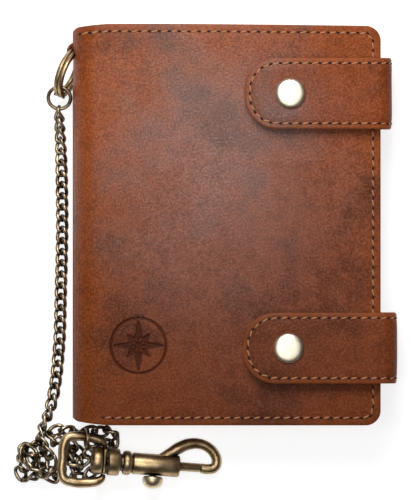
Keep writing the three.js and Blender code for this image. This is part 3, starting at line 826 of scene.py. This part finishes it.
# ---- Straps: each is a top leather and a thinner lining stitched together, sewn into the back cover's
# seam, turned up round the fore edge and snapped down over the front cover.
strap_width = 22.0 * MM
strap_tip_radius = 10.2 * MM
strap_top_thickness = 1.15 * MM
strap_lining_thickness = 0.75 * MM
strap_seam_inset = 1.65 * MM
strap_roof = 22.2 * MM
strap_floor = 1.9 * MM
straps = [
    {"name": "upper", "y": 40.8 * MM, "tip": 5.6 * MM, "reach": 51.5 * MM, "snap": 19.9 * MM},
    {"name": "lower", "y": -38.4 * MM, "tip": 5.0 * MM, "reach": 53.1 * MM, "snap": 19.3 * MM},
]

lining_look, tree, shader = material("split_leather_lining", Roughness=0.75)
coords = add(tree, "TexCoord").outputs["Object"]
# Short nap, drawn at about 0.5 mm, and soft clouds of dye.
nap = add(tree, "TexNoise", {"Vector": coords, "Scale": 2000.0, "Detail": 4.0}).outputs["Fac"]
dye = add(tree, "TexNoise", {"Vector": coords, "Scale": 60.0, "Detail": 3.0}).outputs["Fac"]
dyed = mix(tree, dye, "#5f3722", "#7a4a2e")
dyed = mix(tree, remap(tree, nap, 0.3, 0.7, 0.0, 0.4), dyed, "#3f2417")
tree.links.new(dyed, shader.inputs["Base Color"])
bump = add(tree, "Bump", {"Height": nap, "Strength": 0.5, "Distance": 0.00015})
tree.links.new(bump.outputs[0], shader.inputs["Normal"])


def strap_line(strap, inset):
    """The strap's side view from root to tip, as (x, z) points, by an inset inside its face."""
    reach = strap["reach"]
    root_turn, top_turn = 3.0 * MM, 4.5 * MM
    line = [(45.0 * MM, strap_floor + inset)]
    line += arc((reach - root_turn, strap_floor + root_turn), root_turn - inset, -90, 0, 6)
    line += arc((reach - top_turn, strap_roof - top_turn), top_turn - inset, 0, 90, 10)
    steps = 24
    start = reach - top_turn
    for i in range(1, steps + 1):
        x = start + (strap["tip"] - start) * i / steps
        past_snap = max(0.0, (strap["snap"] - 5 * MM - x) / (strap["snap"] - 5 * MM - strap["tip"]))
        before_snap = math.sin(math.pi * min(1.0, max(0.0, (x - strap["snap"]) / (start - strap["snap"]))))
        z = strap_roof - inset - 1.5 * MM * past_snap ** 1.4 - 0.45 * MM * before_snap
        line.append((x, z))
    return line


def strap_outline_distance(s, y, length, half_width):
    """Distance inside the outline of a flat strap with a rounded tip."""
    ds, dy = length - s, half_width - abs(y)
    if ds < strap_tip_radius and dy < strap_tip_radius:
        return strap_tip_radius - math.hypot(strap_tip_radius - ds, strap_tip_radius - dy)
    return min(ds, dy)


def strap_point(strap, line, lengths, s, y, sink):
    """A point and outward direction on the strap's face, sunk by a depth."""
    x, z = along(line, lengths, s)
    x1, z1 = along(line, lengths, min(lengths[-1], s + 0.4 * MM))
    x0, z0 = along(line, lengths, max(0.0, s - 0.4 * MM))
    out = Vector((z1 - z0, 0, x0 - x1)).normalized()
    return Vector((x, strap["y"] + y, z)) - out * sink, out


def strap_sheet(strap, name, inset, narrower, thickness, look, rounding, dished):
    """One leather layer of a strap, cut flat, folded along the strap's line and thickened inwards."""
    line = strap_line(strap, inset)
    lengths = arc_length_curve(line)
    length = lengths[-1] - narrower
    half_width = strap_width / 2 - narrower
    bm = flat_sheet(length, 2 * half_width, 96, 30)
    for sign, angles in ((1, (0, 90)), (-1, (-90, 0))):
        round_corner(bm, (length - strap_tip_radius, sign * (half_width - strap_tip_radius), 0),
                     strap_tip_radius, angles, steps=14)
    rim = bm.verts.layers.float.new("rim")
    snap_s = lengths[-1] - (strap["snap"] - strap["tip"])
    for vert in bm.verts:
        s, y = vert.co.x, vert.co.y
        inside = strap_outline_distance(s, y, length, half_width)
        sink = 0.0
        if dished:
            vert[rim] = 0.35 * min(1.0, max(0.0, (strap_seam_inset - 0.2 * MM - inside) / (0.5 * MM)))
            seam_dip = 0.28 * MM * math.exp(-((inside - strap_seam_inset) / (0.55 * MM)) ** 2)
            edge_drop = 0.4 * MM * max(0.0, 1 - inside / (1.3 * MM)) ** 2
            from_cap = math.hypot(s - snap_s, y)
            cap_dip = 0.3 * MM * math.exp(-((from_cap - 4.7 * MM) / (1.2 * MM)) ** 2)
            clear_of_seam = min(1.0, max(0.0, inside - strap_seam_inset - 0.8 * MM) / (3 * MM))
            uneven = noise.noise(Vector((s, y, strap["y"])) * 60) * 0.3 * MM * clear_of_seam
            sink = seam_dip + edge_drop + cap_dip + uneven
        vert.co, _ = strap_point(strap, line, lengths, s, y, sink)
    bm.normal_update()
    if sum(f.normal.z * f.calc_area() for f in bm.faces if f.calc_center_median().z > 19 * MM) < 0:
        bmesh.ops.reverse_faces(bm, faces=bm.faces)
    made = finish_mesh(name, bm, look)
    thicken(made, thickness, rounding)
    made.data.set_sharp_from_angle(angle=math.radians(50))
    return made, line, lengths


for strap in straps:
    body = f"{strap['name']}_strap"
    hinge = ("back_half", body, (strap["reach"] + 0.5 * MM, strap["y"], 16.5 * MM),
             (strap["reach"] - 7 * MM, strap["y"], 21.5 * MM))
    top, line, lengths = strap_sheet(strap, f"strap_leather_{strap['name']}", 0.0, 0.0, strap_top_thickness,
                                     strap_look, 0.28 * MM, True)
    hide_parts(f"strap_top_{strap['name']}", f"strap_root_{strap['name']}")
    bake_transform(top)
    under, _, _ = strap_sheet(strap, f"strap_backing_{strap['name']}", strap_top_thickness + 0.03 * MM,
                              0.25 * MM, strap_lining_thickness, lining_look, 0.2 * MM, False)
    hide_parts(f"strap_lining_{strap['name']}")
    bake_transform(under)

    length = lengths[-1]
    seam_half = strap_width / 2 - strap_seam_inset
    tip_turn = strap_tip_radius - strap_seam_inset
    seam_end = length - strap_seam_inset
    outline = [(6 * MM, seam_half), *arc((seam_end - tip_turn, seam_half - tip_turn), tip_turn, 90, 0),
               *arc((seam_end - tip_turn, tip_turn - seam_half), tip_turn, 0, -90), (6 * MM, -seam_half)]

    def on_strap(s, y, strap=strap, line=line, lengths=lengths):
        """A point in the strap's seam."""
        return strap_point(strap, line, lengths, s, y, 0.24 * MM)

    seam(f"strap_seam_{strap['name']}", walk(outline, stitch_pitch), on_strap, "back_half", hinge)


# ---- Press snaps: a domed brass cap over the strap, its socket under it, and a stud and back plate on
# the cover. Caps are pressed from thin sheet with a rolled rim; they sink a little into the leather.
cap_look, tree, shader = material("pale_antique_brass_cap", Metallic=1.0)
coords = add(tree, "TexCoord").outputs["Object"]
haze = add(tree, "TexNoise", {"Vector": coords, "Scale": 420.0, "Detail": 4.0}).outputs["Fac"]
scratches = add(tree, "TexNoise", {"Vector": coords, "Scale": 3000.0, "Detail": 2.0}).outputs["Fac"]
tree.links.new(mix(tree, remap(tree, haze, 0.35, 0.7), "#f6ecd8", "#e6d9be"), shader.inputs["Base Color"])
tree.links.new(remap(tree, scratches, 0.3, 0.7, 0.36, 0.5), shader.inputs["Roughness"])
bump = add(tree, "Bump", {"Height": haze, "Strength": 0.08, "Distance": 0.0001})
tree.links.new(bump.outputs[0], shader.inputs["Normal"])

nickel_look, tree, shader = material("nickelled_steel", Metallic=1.0)
coords = add(tree, "TexCoord").outputs["Object"]
haze = add(tree, "TexNoise", {"Vector": coords, "Scale": 600.0, "Detail": 3.0}).outputs["Fac"]
tree.links.new(mix(tree, haze, "#a8a59c", "#8b8678"), shader.inputs["Base Color"])
tree.links.new(remap(tree, haze, 0.3, 0.7, 0.25, 0.4), shader.inputs["Roughness"])

cap_profile = [(0, 1.08), (1.3, 1.07), (2.5, 1.03), (3.4, 0.95), (4.0, 0.82), (4.35, 0.62), (4.65, 0.25),
               (4.7, -0.05), (4.55, -0.22), (3.6, -0.24), (0, -0.22)]
for strap in straps:
    bm = bmesh.new()
    verts = [bm.verts.new((radius * MM, 0, height * MM)) for radius, height in cap_profile]
    edges = [bm.edges.new(pair) for pair in zip(verts, verts[1:])]
    bmesh.ops.spin(bm, geom=verts + edges, axis=(0, 0, 1), cent=(0, 0, 0), dvec=(0, 0, 0), angle=2 * math.pi,
                   steps=64, use_merge=True)
    bmesh.ops.remove_doubles(bm, verts=bm.verts, dist=0.002 * MM)
    bmesh.ops.recalc_face_normals(bm, faces=bm.faces)
    bmesh.ops.translate(bm, vec=(strap["snap"], strap["y"], strap_roof), verts=bm.verts)
    cap = finish_mesh(f"snap_cap_dome_{strap['name']}", bm, cap_look)
    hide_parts(f"snap_cap_{strap['name']}")
    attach(cap, f"{strap['name']}_strap")


def dress(look, *names):
    """Gives CAD nodes their material."""
    for name in names:
        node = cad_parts[name]
        if not node.material_slots:
            node.data.materials.append(look)
        for place in node.material_slots:
            place.material = look


for part in ("socket", "stud", "plate"):
    dress(nickel_look, f"snap_{part}_upper", f"snap_{part}_lower")


# ---- Inside: thin split-leather linings, banknote panel, card pockets, coin pocket, and the window leaf
# with its clear film. They are glued and sewn into the cover's edge seam.
film_look, tree, shader = material("clear_vinyl_film", Roughness=0.12, Alpha=0.35, IOR=1.5)
coords = add(tree, "TexCoord").outputs["Object"]
ripple = add(tree, "TexNoise", {"Vector": coords, "Scale": 70.0, "Detail": 2.0}).outputs["Fac"]
tree.links.new(mix(tree, ripple, "#d9dee0", "#c6cccf"), shader.inputs["Base Color"])
bump = add(tree, "Bump", {"Height": ripple, "Strength": 0.3, "Distance": 0.0004})
tree.links.new(bump.outputs[0], shader.inputs["Normal"])

dress(lining_look, "back_lining", "back_note_panel", "back_card_pocket_1", "back_card_pocket_2",
      "back_card_pocket_3", "front_lining", "front_card_pocket_1", "front_card_pocket_2", "coin_gusset",
      "coin_panel", "coin_flap", "leaf_frame")
dress(strap_look, "ring_tab")
dress(film_look, "leaf_window")


# ---- Studio: white floor, a large soft light above the wallet's top edge, and a dim surround that
# leaves the metal dark edges to reflect.
floor_look, tree, shader = material("white_light_table", Roughness=0.9, Emission_Strength=0.8)
coords = add(tree, "TexCoord").outputs["Object"]
fibre = add(tree, "TexNoise", {"Vector": coords, "Scale": 900.0}).outputs["Fac"]
tree.links.new(mix(tree, fibre, "#c0c0c0", "#c6c6c6"), shader.inputs["Base Color"])
tree.links.new(mix(tree, fibre, "#fbfbfb", "#ffffff"), shader.inputs["Emission Color"])
bm = bmesh.new()
bmesh.ops.create_grid(bm, x_segments=1, y_segments=1, size=1.5)
bmesh.ops.translate(bm, vec=(0, 0, -0.15 * MM), verts=bm.verts)
floor = finish_mesh("floor", bm, floor_look)

world = bpy.data.worlds.new("studio")
world.use_nodes = True
tree = world.node_tree
sky = tree.nodes["Background"]
direction = add(tree, "TexCoord").outputs["Generated"]
height = add(tree, "SeparateXYZ", {"Vector": direction}).outputs["Z"]
overhead = add(tree, "Math", {0: height, 1: 2.2}, operation="POWER").outputs[0]
zenith = add(tree, "Math", {0: height, 1: 14.0}, operation="POWER").outputs[0]
rising = remap(tree, overhead, 0.0, 1.0, 0.06, 0.85)
glow = add(tree, "Math", {0: zenith, 1: 1.5, 2: rising}, operation="MULTIPLY_ADD")
tree.links.new(glow.outputs[0], sky.inputs["Strength"])
bpy.context.scene.world = world


def soft_light(name, location, size, power):
    """A square area light that faces the wallet."""
    data = bpy.data.lights.new(name, "AREA")
    data.size = size
    data.energy = power
    light = bpy.data.objects.new(name, data)
    light.location = location
    light.rotation_euler = (Vector(location) - Vector((0, 0, 0.01))).to_track_quat("Z", "Y").to_euler()
    bpy.context.collection.objects.link(light)


soft_light("key_light", (-0.03, 0.2, 0.27), 0.2, 0.9)
soft_light("fill_light", (-0.06, -0.07, 0.65), 0.35, 1.2)
bpy.context.scene.view_settings.view_transform = "Standard"
